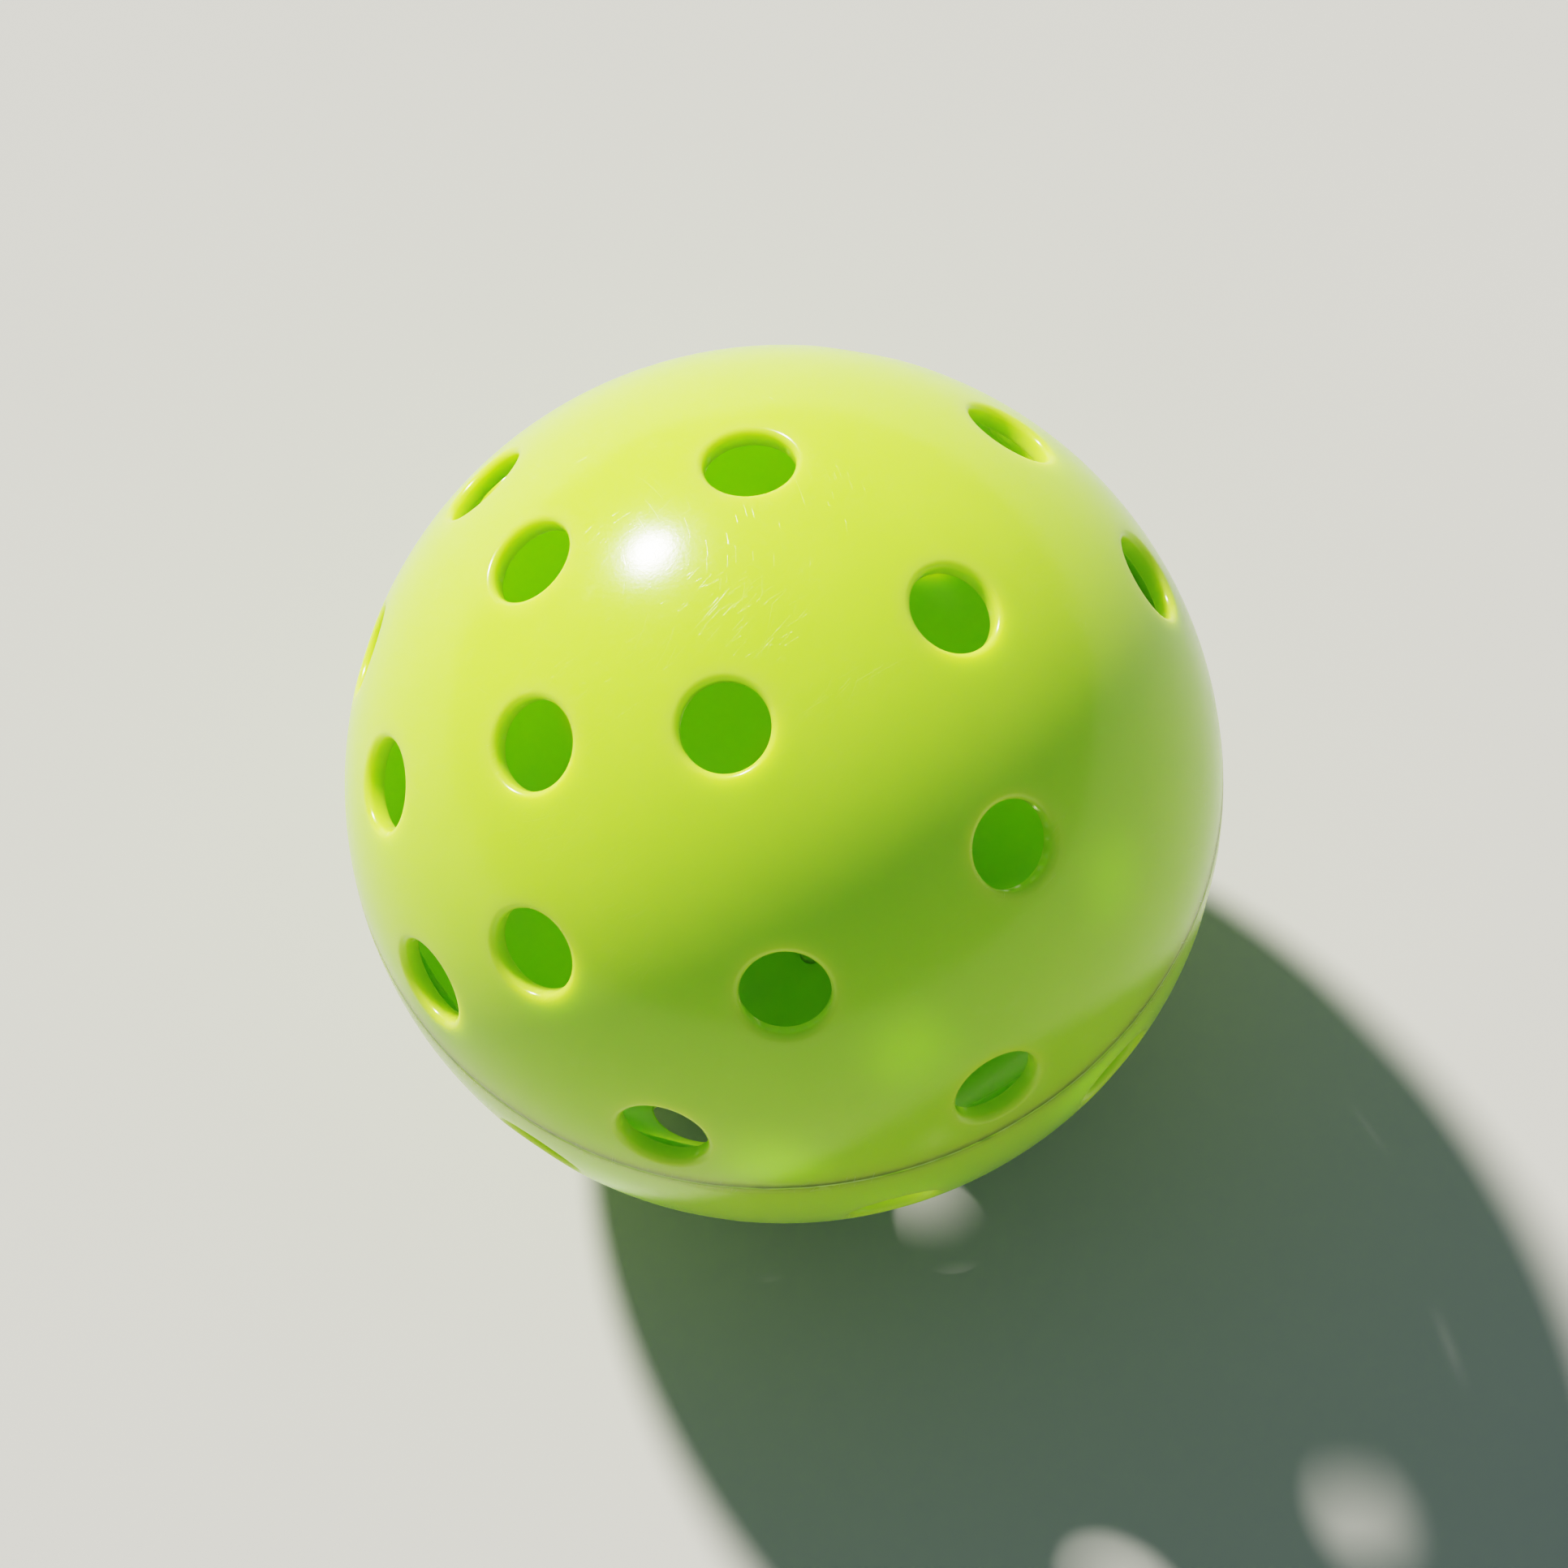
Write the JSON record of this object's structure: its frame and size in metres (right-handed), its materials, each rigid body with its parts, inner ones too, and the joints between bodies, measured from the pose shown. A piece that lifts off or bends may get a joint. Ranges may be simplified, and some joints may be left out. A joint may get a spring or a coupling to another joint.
{
  "type": "pickleball ball",
  "caption": "Hollow outdoor pickleball ball: perforated moulded half shells welded together at the equator, with round air holes all over.",
  "frame": {"origin": "centre of the ball", "axes": "+Z through the pole of the upper half shell, the weld in the XY plane"},
  "size_m": [0.074, 0.074, 0.074],
  "materials": {
    "shell_plastic": "glossy translucent neon yellow-green polyethylene with a soft moulded skin",
    "weld_plastic": "the same plastic remelted and trimmed, slightly duller and paler"
  },
  "bodies": {
    "root": {"upper_half_shell": "shell_plastic", "lower_half_shell": "shell_plastic", "weld_seam": "weld_plastic"}
  },
  "joints": []
}
